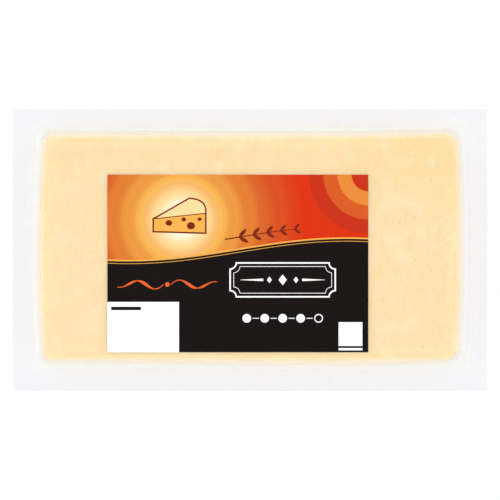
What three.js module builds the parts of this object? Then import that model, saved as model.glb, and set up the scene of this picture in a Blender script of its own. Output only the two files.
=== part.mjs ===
// A block of cheddar sealed in a clear vacuum pack, lying on its back with the labelled face up.
// The pack is the block's own shape under a tight film, with a flat seal flange standing out all
// round it about two thirds of the way up. An adhesive label lies on the upper face.
// Millimetres, +Z up, +X along the block. The origin is on the surface that the pack lies on,
// under the middle of the flange's rectangle.

import * as THREE from "three";
import { mergeVertices } from "three/addons/utils/BufferGeometryUtils.js";

// Seal flange, the outermost rectangle.
const PACK_LENGTH = 186;
const PACK_WIDTH = 110.5;
const FLANGE_HEIGHT = 22.6; // upper side of the flange above the base
const FLANGE_THICKNESS = 0.4;
const FLANGE_WAVE = 0.45; // how far the rim of the flange lifts and dips
const LONG_WAVE = { along: 11, across: 14 }; // stated as the swells are
const SHORT_WAVE = { share: 0.5, along: 7, across: 9 };
const CORNER_CURL = 0.9; // how far the flange's four corners bend down
const CURL_POWER = 8; // the higher, the closer to the corner the bend stays

// Block of cheese under the film.
const BLOCK_LENGTH = 161.6; // from corner to corner, before the sides below depart from it
const BLOCK_WIDTH = 88.8;
const BLOCK_HEIGHT = 34.5;
const BLOCK_SHIFT = { x: 0.2, y: 1.2 }; // the block lies this far off the middle of the pack
// How each side departs from a straight line: bowed out in its middle, swaying in an S, and
// leaning out towards its end at +X or +Y.
const SIDES = {
  right: { bow: 1.45, sway: 0, lean: 0.05 },
  left: { bow: 1.6, sway: 0, lean: -0.2 },
  far: { bow: -0.4, sway: -0.15, lean: 0.3 },
  near: { bow: 0.75, sway: 0.3, lean: -0.1 },
};
const CORNER_RADIUS = { farRight: 5.2, farLeft: 3.6, nearLeft: 3.4, nearRight: 5.2 };
const TOP_EDGE_RADIUS = 3.0;
const BASE_EDGE_RADIUS = 2.4;
const CROWN = 0.35; // the upper face is this much higher at its middle than at its edges
// Swells of the upper face. along and across are how far each goes while its phase turns by 1 radian.
const SLOW_SWELL = { height: 0.2, along: 23, across: 17 };
const QUICK_SWELL = { height: 0.1, along: 11, across: 13 };

// Flare where the film leaves the side of the block and runs out into the flange.
const FLARE_REACH = { right: 5.4, left: 5.3, far: 4.1, near: 4.6 };
const FLARE_CORNER = 2.4; // extra reach where the film bridges a corner
const FLARE_RISE = 4.2;
const FLARE_CORNER_RISE = 3.6; // extra height of that bridge
const LOWER_FLARE = 0.55; // the flare under the flange, as a share of the one above

// Label on the upper face.
const LABEL_LENGTH = 101.9;
const LABEL_WIDTH = 69.4;
const LABEL_THICKNESS = 0.25;
const LABEL_GAP = 0.15; // clearance between the label and the film
const LABEL_X = -4.75;
const LABEL_Y = -5.25;

// Fineness of the meshes.
const STEPS_ALONG = 30;
const STEPS_ACROSS = 20;
const ARC_STEPS = 3; // steps from the end of a straight side to the middle of a corner
const FILLET_STEPS = 4;
const FLARE_STEPS = 4;
const FLANGE_STEPS = 2;
const LABEL_STEPS_ALONG = 18;
const LABEL_STEPS_ACROSS = 12;

const HALF_LENGTH = BLOCK_LENGTH / 2;
const HALF_WIDTH = BLOCK_WIDTH / 2;
const QUARTER_TURN = Math.PI / 2;

function mix(from, to, share) {
  return from + (to - from) * share;
}

// Height of the uneven upper face over its nominal plane.
function upperRelief(x, y) {
  const u = (x - BLOCK_SHIFT.x) / HALF_LENGTH;
  const v = (y - BLOCK_SHIFT.y) / HALF_WIDTH;
  const crown = CROWN * (1 - 0.5 * (u * u + v * v));
  const slow = Math.sin(x / SLOW_SWELL.along + 0.6) * Math.cos(y / SLOW_SWELL.across - 0.3);
  const quick = Math.sin(x / QUICK_SWELL.along - y / QUICK_SWELL.across + 1.9);
  return crown + SLOW_SWELL.height * slow + QUICK_SWELL.height * quick;
}

// Lift of the flange at its rim, falling away towards the block.
function flangeLift(x, y) {
  const long = Math.sin(x / LONG_WAVE.along + 0.7) * Math.cos(y / LONG_WAVE.across - 0.4);
  const short = Math.sin(x / SHORT_WAVE.along - y / SHORT_WAVE.across + 2);
  const corner = Math.abs((x / (PACK_LENGTH / 2)) * (y / (PACK_WIDTH / 2))) ** CURL_POWER;
  return FLANGE_WAVE * (long + SHORT_WAVE.share * short) - CORNER_CURL * corner;
}

function cornerRadius(a, b) {
  if (b > 0) return a > 0 ? CORNER_RADIUS.farRight : CORNER_RADIUS.farLeft;
  return a > 0 ? CORNER_RADIUS.nearRight : CORNER_RADIUS.nearLeft;
}

// Where a point of the box's rim, with a or b at 1 or -1, meets the plan outline. turn is the
// direction that the outline faces there: 0 at a short end, a quarter turn at a long side.
function rimPlace(a, b) {
  const onEnd = Math.abs(a) === 1;
  const steps = onEnd ? STEPS_ACROSS : STEPS_ALONG;
  const along = Math.abs(onEnd ? b : a);
  const straight = 1 - (2 * ARC_STEPS) / steps;
  const run = Math.min(along / straight, 1);
  const bend = Math.max((along - straight) / (1 - straight), 0);
  const turn = onEnd ? (bend * QUARTER_TURN) / 2 : QUARTER_TURN - (bend * QUARTER_TURN) / 2;
  return { onEnd, run, bend, turn };
}

// How far a side stands out from its straight line at s, from -1 to 1 along it.
function departure({ bow, sway, lean }, s) {
  return bow * (1 - s * s) + sway * Math.sin(Math.PI * s) + lean * s;
}

// The block's side outline, pushed outwards by offset.
function blockOutline(a, b, offset) {
  const { onEnd, run, bend, turn } = rimPlace(a, b);
  const radius = cornerRadius(a, b);
  const centreX = HALF_LENGTH - radius;
  const centreY = HALF_WIDTH - radius;
  const reach = radius + offset;
  let x = centreX + reach * Math.cos(turn);
  let y = centreY + reach * Math.sin(turn);
  if (bend === 0 && onEnd) y = centreY * run;
  if (bend === 0 && !onEnd) x = centreX * run;
  x *= Math.sign(a);
  y *= Math.sign(b);
  const u = THREE.MathUtils.clamp(x / HALF_LENGTH, -1, 1);
  const v = THREE.MathUtils.clamp(y / HALF_WIDTH, -1, 1);
  const outX = u * departure(x > 0 ? SIDES.right : SIDES.left, v);
  const outY = v * departure(y > 0 ? SIDES.far : SIDES.near, u);
  return new THREE.Vector2(x + outX + BLOCK_SHIFT.x, y + outY + BLOCK_SHIFT.y);
}

// The flange's straight-sided outline, met by lines that leave the block at right angles.
function flangeOutline(a, b) {
  const { onEnd, bend } = rimPlace(a, b);
  const start = blockOutline(a, b, 0);
  const endX = (Math.sign(a) * PACK_LENGTH) / 2;
  const endY = (Math.sign(b) * PACK_WIDTH) / 2;
  if (onEnd) return new THREE.Vector2(endX, mix(start.y, endY, bend));
  return new THREE.Vector2(mix(start.x, endX, bend), endY);
}

// Reach and rise of the flare at this place on the rim.
function flareAt(a, b) {
  const { turn } = rimPlace(a, b);
  const bridge = Math.sin(2 * turn) ** 2;
  const endReach = a > 0 ? FLARE_REACH.right : FLARE_REACH.left;
  const sideReach = b > 0 ? FLARE_REACH.far : FLARE_REACH.near;
  const reach = mix(endReach, sideReach, Math.sin(turn) ** 2) + FLARE_CORNER * bridge;
  return { reach, rise: FLARE_RISE + FLARE_CORNER_RISE * bridge };
}

// The rows of points from the rim of the upper face down to the rim of the base. Each row is a
// function of the place on the rim, and gives a point of the pack's skin.
function sideRows() {
  const rows = [];
  const wallRow = (offset, z, shareOfRelief) => (a, b) => {
    const p = blockOutline(a, b, offset);
    return new THREE.Vector3(p.x, p.y, z + shareOfRelief * upperRelief(p.x, p.y));
  };
  for (let i = 0; i <= FILLET_STEPS; i++) {
    const angle = (i / FILLET_STEPS) * QUARTER_TURN;
    const offset = TOP_EDGE_RADIUS * (Math.sin(angle) - 1);
    const drop = TOP_EDGE_RADIUS * (1 - Math.cos(angle));
    rows.push(wallRow(offset, BLOCK_HEIGHT - drop, Math.cos(angle)));
  }
  const flareRow = (angle, side) => (a, b) => {
    const flare = flareAt(a, b);
    const size = side > 0 ? 1 : LOWER_FLARE;
    const p = blockOutline(a, b, flare.reach * size * (1 - Math.cos(angle)));
    const level = side > 0 ? FLANGE_HEIGHT : FLANGE_HEIGHT - FLANGE_THICKNESS;
    const q = flangeOutline(a, b);
    const start = blockOutline(a, b, 0);
    const share = p.distanceTo(start) / q.distanceTo(start);
    const height = side * flare.rise * size * (1 - Math.sin(angle));
    return new THREE.Vector3(p.x, p.y, level + height + share * flangeLift(q.x, q.y));
  };
  const flangeRow = (share, side) => (a, b) => {
    const inner = flareRow(QUARTER_TURN, side)(a, b);
    const q = flangeOutline(a, b);
    const level = side > 0 ? FLANGE_HEIGHT : FLANGE_HEIGHT - FLANGE_THICKNESS;
    const outer = new THREE.Vector3(q.x, q.y, level + flangeLift(q.x, q.y));
    return inner.lerp(outer, share);
  };
  for (let i = 0; i <= FLARE_STEPS; i++) {
    rows.push(flareRow((i / FLARE_STEPS) * QUARTER_TURN, 1));
  }
  for (let i = 1; i <= FLANGE_STEPS; i++) rows.push(flangeRow(i / FLANGE_STEPS, 1));
  for (let i = FLANGE_STEPS; i >= 1; i--) rows.push(flangeRow(i / FLANGE_STEPS, -1));
  for (let i = FLARE_STEPS; i >= 0; i--) {
    rows.push(flareRow((i / FLARE_STEPS) * QUARTER_TURN, -1));
  }
  for (let i = 0; i <= FILLET_STEPS; i++) {
    const angle = (i / FILLET_STEPS) * QUARTER_TURN;
    const offset = BASE_EDGE_RADIUS * (Math.cos(angle) - 1);
    rows.push(wallRow(offset, BASE_EDGE_RADIUS * (1 - Math.sin(angle)), 0));
  }
  return rows;
}

// A point inside the upper face or the base, blended from the four sides of its rim.
function facePoint(a, b, row) {
  const s = (a + 1) / 2;
  const t = (b + 1) / 2;
  const between = (p, q, share) => p.clone().lerp(q, share);
  const lengthwise = between(row(-1, b), row(1, b), s);
  const crosswise = between(row(a, -1), row(a, 1), t);
  const lowCorners = between(row(-1, -1), row(1, -1), s);
  const highCorners = between(row(-1, 1), row(1, 1), s);
  return lengthwise.add(crosswise).sub(between(lowCorners, highCorners, t));
}

// A closed box with its corners shared, so that moving its points keeps it closed.
function sharedBox(stepsX, stepsY, stepsZ) {
  const box = new THREE.BoxGeometry(2, 2, 2, stepsX, stepsY, stepsZ);
  box.deleteAttribute("normal");
  box.deleteAttribute("uv");
  box.clearGroups();
  return mergeVertices(box, 1e-4);
}

function reshape(geometry, place) {
  const position = geometry.getAttribute("position");
  const point = new THREE.Vector3();
  for (let i = 0; i < position.count; i++) {
    point.fromBufferAttribute(position, i);
    const moved = place(point);
    position.setXYZ(i, moved.x, moved.y, moved.z);
  }
  geometry.computeVertexNormals();
  return geometry;
}

// Snaps a coordinate of the box to exactly 1 or -1 at its faces.
function snapped(value) {
  return Math.abs(Math.abs(value) - 1) < 1e-5 ? Math.sign(value) : value;
}

function sealedPack() {
  const rows = sideRows();
  const lastRow = rows.length - 1;
  const box = sharedBox(STEPS_ALONG, STEPS_ACROSS, lastRow);
  const geometry = reshape(box, (point) => {
    const a = snapped(point.x);
    const b = snapped(point.y);
    const c = snapped(point.z);
    const onRim = Math.abs(a) === 1 || Math.abs(b) === 1;
    if (onRim) return rows[Math.round(((1 - c) / 2) * lastRow)](a, b);
    if (c < 0) return facePoint(a, b, rows[lastRow]);
    const top = facePoint(a, b, rows[0]);
    top.z = BLOCK_HEIGHT + upperRelief(top.x, top.y);
    return top;
  });
  const cheddarUnderFilm = new THREE.MeshStandardMaterial({
    color: 0xfde2b1,
    roughness: 0.28,
    metalness: 0,
  });
  const mesh = new THREE.Mesh(geometry, cheddarUnderFilm);
  mesh.name = "sealed_pack";
  return mesh;
}

function label() {
  const box = sharedBox(LABEL_STEPS_ALONG, LABEL_STEPS_ACROSS, 1);
  const geometry = reshape(box, (point) => {
    const x = (point.x * LABEL_LENGTH) / 2;
    const y = (point.y * LABEL_WIDTH) / 2;
    const under = BLOCK_HEIGHT + upperRelief(x + LABEL_X, y + LABEL_Y) + LABEL_GAP;
    return new THREE.Vector3(x, y, under + (LABEL_THICKNESS * (point.z + 1)) / 2);
  });
  const printedPaper = new THREE.MeshStandardMaterial({
    color: 0x1f1919,
    roughness: 0.45,
    metalness: 0,
  });
  const mesh = new THREE.Mesh(geometry, printedPaper);
  mesh.name = "label";
  mesh.position.set(LABEL_X, LABEL_Y, 0);
  return mesh;
}

const cheesePack = new THREE.Group();
cheesePack.add(sealedPack(), label());

export default cheesePack;
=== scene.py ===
"""Looks for a sealed pack of cheddar: the block, the clear film round it and the printed label.

Everything is in metres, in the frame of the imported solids. The pack lies on a pale light table
and the camera looks straight down on it.
"""

import math
from functools import cache

import bmesh
import bpy
import numpy as np
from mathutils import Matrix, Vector, noise


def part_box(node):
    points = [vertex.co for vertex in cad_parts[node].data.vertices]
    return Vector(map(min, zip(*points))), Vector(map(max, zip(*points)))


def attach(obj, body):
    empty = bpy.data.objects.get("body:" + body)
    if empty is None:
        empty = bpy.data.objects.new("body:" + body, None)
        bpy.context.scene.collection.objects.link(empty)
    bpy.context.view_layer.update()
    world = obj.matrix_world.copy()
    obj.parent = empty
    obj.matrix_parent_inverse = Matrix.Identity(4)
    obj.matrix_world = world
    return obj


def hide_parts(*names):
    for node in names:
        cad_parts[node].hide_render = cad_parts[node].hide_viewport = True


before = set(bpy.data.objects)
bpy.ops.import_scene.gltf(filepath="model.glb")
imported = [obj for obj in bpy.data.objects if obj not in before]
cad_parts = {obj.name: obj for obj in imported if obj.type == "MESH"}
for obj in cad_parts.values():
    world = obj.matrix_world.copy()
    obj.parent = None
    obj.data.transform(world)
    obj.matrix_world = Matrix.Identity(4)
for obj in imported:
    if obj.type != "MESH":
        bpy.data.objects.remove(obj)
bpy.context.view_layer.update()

MM = 0.001
QUARTER_TURN = math.pi / 2

# The solids that the pieces stand for.
PACK_LOW, PACK_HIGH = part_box("sealed_pack")
LABEL_LOW, LABEL_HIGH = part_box("label")
PACK_LENGTH = PACK_HIGH.x - PACK_LOW.x
PACK_WIDTH = PACK_HIGH.y - PACK_LOW.y
LABEL_CENTRE = (LABEL_LOW + LABEL_HIGH) / 2
HALF_U = (LABEL_HIGH.x - LABEL_LOW.x) / 2
HALF_V = (LABEL_HIGH.y - LABEL_LOW.y) / 2

# The block under the film, as in the solids' source. A side has its bow, its sway and its lean.
BLOCK_LENGTH = 161.6 * MM
BLOCK_WIDTH = 88.8 * MM
BLOCK_HEIGHT = 34.5 * MM
BLOCK_SHIFT = Vector((0.2 * MM, 1.2 * MM))
SIDES = {
    "right": (1.45 * MM, 0, 0.05 * MM),
    "left": (1.6 * MM, 0, -0.2 * MM),
    "far": (-0.4 * MM, -0.15 * MM, 0.3 * MM),
    "near": (0.75 * MM, 0.3 * MM, -0.1 * MM),
}
CORNER_RADIUS = {
    "far_right": 5.2 * MM, "far_left": 3.6 * MM, "near_left": 3.4 * MM, "near_right": 5.2 * MM
}
TOP_RADIUS = 3.0 * MM
BASE_RADIUS = 2.4 * MM
HALF_LENGTH = BLOCK_LENGTH / 2
HALF_WIDTH = BLOCK_WIDTH / 2
CROWN = 0.35 * MM
SLOW_SWELL = {"height": 0.2 * MM, "along": 23 * MM, "across": 17 * MM, "phases": (0.6, -0.3)}
QUICK_SWELL = {"height": 0.1 * MM, "along": 11 * MM, "across": 13 * MM, "phase": 1.9}

# The flange and the flare that leads out to it.
FLANGE_HEIGHT = 22.4 * MM
FLANGE_THICKNESS = 0.22 * MM
FLANGE_WAVE = 0.45 * MM  # times the heights of its two waves
LONG_WAVE = {"height": 1, "along": 11 * MM, "across": 14 * MM, "phases": (0.7, -0.4)}
SHORT_WAVE = {"height": 0.5, "along": 7 * MM, "across": 9 * MM, "phase": 2}
CORNER_CURL = 0.9 * MM
CURL_POWER = 8
FLARE_REACH = {"right": 5.4 * MM, "left": 5.3 * MM, "far": 4.1 * MM, "near": 4.6 * MM}
FLARE_CORNER = 2.4 * MM
FLARE_RISE = 4.2 * MM
FLARE_CORNER_RISE = 3.6 * MM
LOWER_FLARE = 0.55  # size of the flare under the flange beside the one above it
PLEAT_END, PRESS_START, SEAL_START = 0.3, 0.2, 0.1  # shares of the flange's width

# The film's pleats and wrinkles. Two numbers in brackets are the least and the most of a draw.
UPPER_PLEATS = {"seed": 3, "count": 80}
LOWER_PLEATS = {"seed": 5, "count": 70}
PLEAT_HEIGHT = 0.24 * MM
PLEAT_SIZES = (0.3, 1)  # shares of that height, before they are squared
PLEAT_WIDTH = 1.3 * MM
PLEAT_WIDTHS = (0.7, 1.8)  # shares of that width
PLEAT_SLANT = 0.25
PRESSED_PLEAT = 0.4  # share of a pleat's height that is pressed into both webs
WALL_PLEAT = 0.25  # and that shows on the block's side, there with half of the corner pleats
CORNER_PLEATS = (22, 45, 66)  # degrees round each corner
CORNER_PLEAT_SPREAD = 6  # degrees
CORNER_PLEAT_HEIGHT = 0.45 * MM
WRINKLE_SEED = 11
WRINKLE_COUNT = 34
WRINKLE_PLACES = (-0.95, 0.95)  # shares of half a side
WRINKLE_HEIGHT = 0.09 * MM
WRINKLE_SIZES = (0.3, 1.0)  # shares of that height
WRINKLE_WIDTH = 1.0 * MM
WRINKLE_LENGTHS = (8, 26)  # mm
WRINKLE_LEAN = 0.35  # share of the way to the middle that a crease heads lengthwise
WRINKLE_TURN = 0.5  # radians off that aim
WRINKLE_START = -4 * MM  # outside the face's edge

# How cloudy the film is. Along the block's edges the cloud is partly a painted sheen.
EDGE_HAZE = 0.52  # where it turns down round the block
EDGE_FADE = 1.7 * MM  # how far in from the block's outline that starts
UPPER_WALL_HAZE = (0.3, 0.12)  # on the block's sides: beside the rounded edge, and beyond
LOWER_WALL_HAZE = (0.14, 0.084)
WALL_FADE = 0.25  # share of the side that the first of them fades over
FOOT_HAZE = 0.1
WEB_HAZE = 0.08  # on the sloping web
FOLD_HAZE = 0.5  # and this much more where the web leaves the block
HAZE_REACH = 1.5 * MM  # how far out from the block that fades
LOWER_HAZE = 0.35  # how cloudy the lower web is beside the upper one
SEAL_HAZE = 0.04
FADE_POWER = 1.8

# How much painted cheese-coloured light, as if bounced from the cheese, tints the film.
FACE_CREAM, WALL_CREAM, FOOT_CREAM = 0.05, 0.7, 0.1
INNER_CREAM = {"right": 0.72, "left": 0.72, "far": 0.5, "near": 0.72}  # the web beside the block
OUTER_CREAM = {"right": 0.03, "left": 0.0, "far": 0.06, "near": 0.03}  # the web farther out
CREAM_REACH = {"right": 1.5 * MM, "left": 1.5 * MM, "far": 2.4 * MM, "near": 1.6 * MM}

# How the film takes light: a grey tint of painted shade on the sloping web, and its gloss.
STEEP_PAINTED_SHADE = {"right": 0.78, "left": 0.55, "far": 1.0, "near": 0.8}  # what the sloping web takes
PAINTED_SHADE_POWER = 1.3
OPEN_SEAL = 0.3  # how much of the seal's tone the web has at its outer end
CLINGING_GLOSS = 0.04  # share of the light reflected where the film clings to the cheese
LOOSE_GLOSS = 0.067  # and where it is loose, from both of its surfaces
CLINGING_RISE, LOOSE_RISE = 5, 3.5  # powers by which that grows towards edge on
GRAZING_GLOSS = 0.4  # the most that it reflects, seen edge on

# The cheese under the film.
FILM_GAP = 0.14 * MM
EDGE_EASE = 0.2 * MM  # its upper edge is that much tighter than the film's, its lower one wider
CHEESE_DENT = 0.22 * MM
BROAD_DENTS = {"share": 0.3, "span": 9 * MM}
FINE_DENTS = {"share": 0.2, "span": 3.2 * MM, "shift": Vector((7, 3, 1))}
PIT_SEED = 23
PIT_COUNT = 150
PIT_RADII = (0.9, 2.2)  # mm, the least and the most
PIT_DEPTHS = (0.08, 0.4)  # mm
PIT_STEEPNESS = 1.5
# The cheese has a painted shade round the label.
LABEL_SHADE = 3.6 * MM  # how far round the label the cheese is darker

# Fineness of the meshes: the steps on each run, and where the flange's rings are.
STEPS_ALONG = 190
STEPS_ACROSS = 104
ARC_STEPS = 7
FILM_STEPS = {"shoulder": 10, "wall": 8, "flare": 10, "lower_flare": 6, "lower_wall": 12, "foot": 5}
FLANGE_SHARES = (0.04, 0.1, 0.2, 0.32, 0.46, 0.6, 0.74, 0.87, 0.96, 1.0)
CHEESE_STEPS = {"shoulder": 9, "wall": 30, "foot": 7}


def srgb(red, green, blue):
    """An 8-bit screen colour as the linear colour that a shader takes."""
    def linear(value):
        share = value / 255
        return share / 12.92 if share <= 0.04045 else ((share + 0.055) / 1.055) ** 2.4
    return (linear(red), linear(green), linear(blue), 1.0)


def mix(start, end, share):
    return start + (end - start) * share


def crossed(swell, x, y):
    """A swell with crests both ways."""
    phase_x, phase_y = swell["phases"]
    wave_x, wave_y = x / swell["along"] + phase_x, y / swell["across"] + phase_y
    return swell["height"] * (np.sin(wave_x) * np.cos(wave_y))


def slanted(swell, x, y):
    """A swell whose crests run aslant."""
    return swell["height"] * np.sin(x / swell["along"] - y / swell["across"] + swell["phase"])


def upper_relief(x, y):
    """Height of the block's uneven upper face over its nominal plane."""
    u = (x - BLOCK_SHIFT.x) / HALF_LENGTH
    v = (y - BLOCK_SHIFT.y) / HALF_WIDTH
    crown = CROWN * (1 - 0.5 * (u * u + v * v))
    return crown + crossed(SLOW_SWELL, x, y) + slanted(QUICK_SWELL, x, y)


def flange_lift(x, y):
    """Lift of the flange's rim."""
    waves = crossed(LONG_WAVE, x, y) + slanted(SHORT_WAVE, x, y)
    corner = np.abs((x / (PACK_LENGTH / 2)) * (y / (PACK_WIDTH / 2))) ** CURL_POWER
    return FLANGE_WAVE * waves - CORNER_CURL * corner


def departure(side, s):
    """How far a side stands out from its straight line at s, from -1 to 1 along it."""
    bow, sway, lean = SIDES[side]
    return bow * (1 - s * s) + sway * np.sin(math.pi * s) + lean * s


def bowed(x, y):
    """Takes a point of the straight-sided block to where the real, bowed block has it."""
    u = np.clip(x / HALF_LENGTH, -1, 1)
    v = np.clip(y / HALF_WIDTH, -1, 1)
    out_x = u * np.where(x > 0, departure("right", v), departure("left", v))
    out_y = v * np.where(y > 0, departure("far", u), departure("near", u))
    return np.stack([x + out_x + BLOCK_SHIFT.x, y + out_y + BLOCK_SHIFT.y], axis=-1)


class Rim:
    """The rim of a box grid, counter-clockwise from its near left corner, and the point of the
    block's outline for each of its points."""

    def __init__(self, steps_x, steps_y, arc_steps):
        self.steps_x, self.steps_y = steps_x, steps_y
        along_x = np.linspace(-1, 1, steps_x + 1)[:-1]
        along_y = np.linspace(-1, 1, steps_y + 1)[:-1]
        a = self.a = np.concatenate([along_x, np.ones(steps_y), -along_x, -np.ones(steps_y)])
        b = self.b = np.concatenate([-np.ones(steps_x), along_y, np.ones(steps_x), -along_y])
        on_end = self.on_end = np.abs(a) == 1
        along = np.abs(np.where(on_end, b, a))
        straight = 1 - 2 * arc_steps / np.where(on_end, steps_y, steps_x)
        self.run = np.minimum(along / straight, 1)
        self.bend = np.maximum((along - straight) / (1 - straight), 0)
        half_bend = self.bend * QUARTER_TURN / 2
        self.turn = np.where(on_end, half_bend, QUARTER_TURN - half_bend)
        far = np.where(a > 0, CORNER_RADIUS["far_right"], CORNER_RADIUS["far_left"])
        near = np.where(a > 0, CORNER_RADIUS["near_right"], CORNER_RADIUS["near_left"])
        self.radius = np.where(b > 0, far, near)
        self.wall = self.outline(0)
        steps = np.roll(self.wall, -1, axis=0) - self.wall
        travelled = np.cumsum(np.hypot(steps[:, 0], steps[:, 1]))
        self.length = travelled[-1]
        self.along = np.concatenate([[0], travelled[:-1]])
        self.flange = self.flange_outline()

    def outline(self, offset):
        """The block's side outline, pushed outwards by offset."""
        centre_x, centre_y = HALF_LENGTH - self.radius, HALF_WIDTH - self.radius
        reach = self.radius + offset
        x = centre_x + reach * np.cos(self.turn)
        y = centre_y + reach * np.sin(self.turn)
        level = self.bend == 0
        y = np.where(level & self.on_end, centre_y * self.run, y)
        x = np.where(level & ~self.on_end, centre_x * self.run, x)
        return bowed(x * np.sign(self.a), y * np.sign(self.b))

    def flange_outline(self):
        """The flange's straight-sided outline, opposite each point of the wall."""
        end_x = np.sign(self.a) * PACK_LENGTH / 2
        end_y = np.sign(self.b) * PACK_WIDTH / 2
        x = np.where(self.on_end, end_x, mix(self.wall[:, 0], end_x, self.bend))
        y = np.where(self.on_end, mix(self.wall[:, 1], end_y, self.bend), end_y)
        return np.stack([x, y], axis=1)

    def corner_share(self):
        """1 in the middle of each corner and 0 along the straight sides."""
        return np.sin(2 * self.turn) ** 2

    def by_side(self, values):
        """A value that each of the four sides has, blended round the corners."""
        ends = np.where(self.a > 0, values["right"], values["left"])
        sides = np.where(self.b > 0, values["far"], values["near"])
        return mix(ends, sides, np.sin(self.turn) ** 2)

    def flare_reach(self):
        return self.by_side(FLARE_REACH) + FLARE_CORNER * self.corner_share()

    def flare_rise(self):
        return FLARE_RISE + FLARE_CORNER_RISE * self.corner_share()

    def pleats(self, distance, seed, count):
        """Narrow ridges at random places round the rim, each a little slanted, from 0 to about 1.
        distance is how far out from the wall each point is."""
        draw = np.random.default_rng(seed)
        place = draw.uniform(0, self.length, count)
        slant = draw.normal(0, PLEAT_SLANT, count)
        size = draw.uniform(*PLEAT_SIZES, count) ** 2
        widths = PLEAT_WIDTH * draw.uniform(*PLEAT_WIDTHS, count)
        off = self.along[:, None] - place - slant * distance[:, None]
        off = (off + self.length / 2) % self.length - self.length / 2
        return (size * np.exp(-((off / widths) ** 2))).sum(axis=1)

    def corner_pleats(self):
        """Broader folds that fan out from each corner of the block."""
        degrees = np.degrees(self.turn)
        folds = sum(np.exp(-(((degrees - at) / CORNER_PLEAT_SPREAD) ** 2)) for at in CORNER_PLEATS)
        return folds * (self.bend > 0)


def ring(outline, z):
    return np.column_stack([outline, np.broadcast_to(z, len(outline))])


def face_grid(rim, rim_points):
    """The points of a face, blended from the four sides of its rim."""
    nx, ny = rim.steps_x, rim.steps_y
    loop = np.vstack([rim_points, rim_points[:1]])
    near, right = loop[: nx + 1], loop[nx : nx + ny + 1]
    far, left = loop[nx + ny : 2 * nx + ny + 1][::-1], loop[2 * nx + ny :][::-1]
    s = np.linspace(0, 1, nx + 1)[:, None, None]
    t = np.linspace(0, 1, ny + 1)[None, :, None]
    lengthwise = mix(left[None], right[None], s)
    crosswise = mix(near[:, None], far[:, None], t)
    corners = mix(mix(near[0], far[0], t), mix(near[-1], far[-1], t), s)
    return lengthwise + crosswise - corners


def box_skin(name, rim, rings, top, base, marks):
    """A closed mesh: a grid for the upper face, rings round the sides and a grid for the base.
    marks maps an attribute's name to its value or values on each ring. A face takes the mean of
    those at its rim."""
    nx, ny, count = rim.steps_x, rim.steps_y, len(rim.a)
    loop = np.arange(count)
    cells = []
    points = [np.vstack(rings)]
    total = len(points[0])
    for inner, first, flip in ((top, 0, False), (base, (len(rings) - 1) * count, True)):
        index = np.zeros((nx + 1, ny + 1), int)
        index[1:-1, 1:-1] = total + np.arange((nx - 1) * (ny - 1)).reshape(nx - 1, ny - 1)
        index[:nx, 0] = loop[:nx]
        index[nx, :ny] = loop[nx : nx + ny]
        index[nx:0:-1, ny] = loop[nx + ny : 2 * nx + ny]
        index[0, ny:0:-1] = loop[2 * nx + ny :]
        index[[0, nx], :] += first
        index[1:nx, [0, ny]] += first
        corners = [index[:-1, :-1], index[1:, :-1], index[1:, 1:], index[:-1, 1:]]
        if flip:
            corners.reverse()
        cells.append(np.stack(corners, axis=-1).reshape(-1, 4))
        points.append(inner[1:-1, 1:-1].reshape(-1, 3))
        total += (nx - 1) * (ny - 1)
    following = np.roll(loop, -1)
    for row in range(len(rings) - 1):
        upper, lower = row * count, (row + 1) * count
        corners = [upper + loop, lower + loop, lower + following, upper + following]
        cells.append(np.stack(corners, axis=-1))
    mesh = bpy.data.meshes.new(name)
    mesh.from_pydata(np.vstack(points).tolist(), [], np.vstack(cells).tolist())
    mesh.shade_smooth()
    inner_count = (nx - 1) * (ny - 1)
    for mark, values in marks.items():
        rows = [np.broadcast_to(value, count) for value in values]
        rows += [np.full(inner_count, np.mean(end)) for end in (values[0], values[-1])]
        write_mark(mesh, mark, np.concatenate(rows))
    mesh.validate()
    return linked(name, mesh)


def write_mark(mesh, name, values):
    attribute = mesh.attributes.new(name, "FLOAT", "POINT")
    attribute.data.foreach_set("value", values.astype(np.float32))


def linked(name, data):
    made = bpy.data.objects.new(name, data)
    bpy.context.scene.collection.objects.link(made)
    return made


def fillet(steps):
    """Angles of a quarter turn, ends included."""
    return [QUARTER_TURN * step / steps for step in range(steps + 1)]


def between(steps):
    """Shares of a run in that many steps, ends left out."""
    return [step / steps for step in range(1, steps)]


def film_wrinkles(x, y):
    """Faint creases that run in from the edges of the upper face."""
    draw = np.random.default_rng(WRINKLE_SEED)
    height = np.zeros_like(x)
    for _ in range(WRINKLE_COUNT):
        side = draw.integers(4)
        share = draw.uniform(*WRINKLE_PLACES)
        if side < 2:
            start = (share * HALF_LENGTH, (1 if side else -1) * HALF_WIDTH + BLOCK_SHIFT.y)
        else:
            start = ((1 if side == 3 else -1) * HALF_LENGTH, share * HALF_WIDTH)
        aim = math.atan2(-start[1], -start[0] * WRINKLE_LEAN) + draw.normal(0, WRINKLE_TURN)
        length = draw.uniform(*WRINKLE_LENGTHS) * MM
        size = draw.uniform(*WRINKLE_SIZES)
        off_x, off_y = x - start[0], y - start[1]
        along = off_x * math.cos(aim) + off_y * math.sin(aim)
        across = off_y * math.cos(aim) - off_x * math.sin(aim)
        fade = np.clip(1 - along / length, 0, 1) ** 1.5 * (along > WRINKLE_START)
        height += size * fade * np.exp(-((across / WRINKLE_WIDTH) ** 2))
    return WRINKLE_HEIGHT * height


def fading(distance, reach):
    """1 at no distance, 0 from reach on."""
    return np.maximum(1 - distance / reach, 0) ** FADE_POWER


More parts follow.
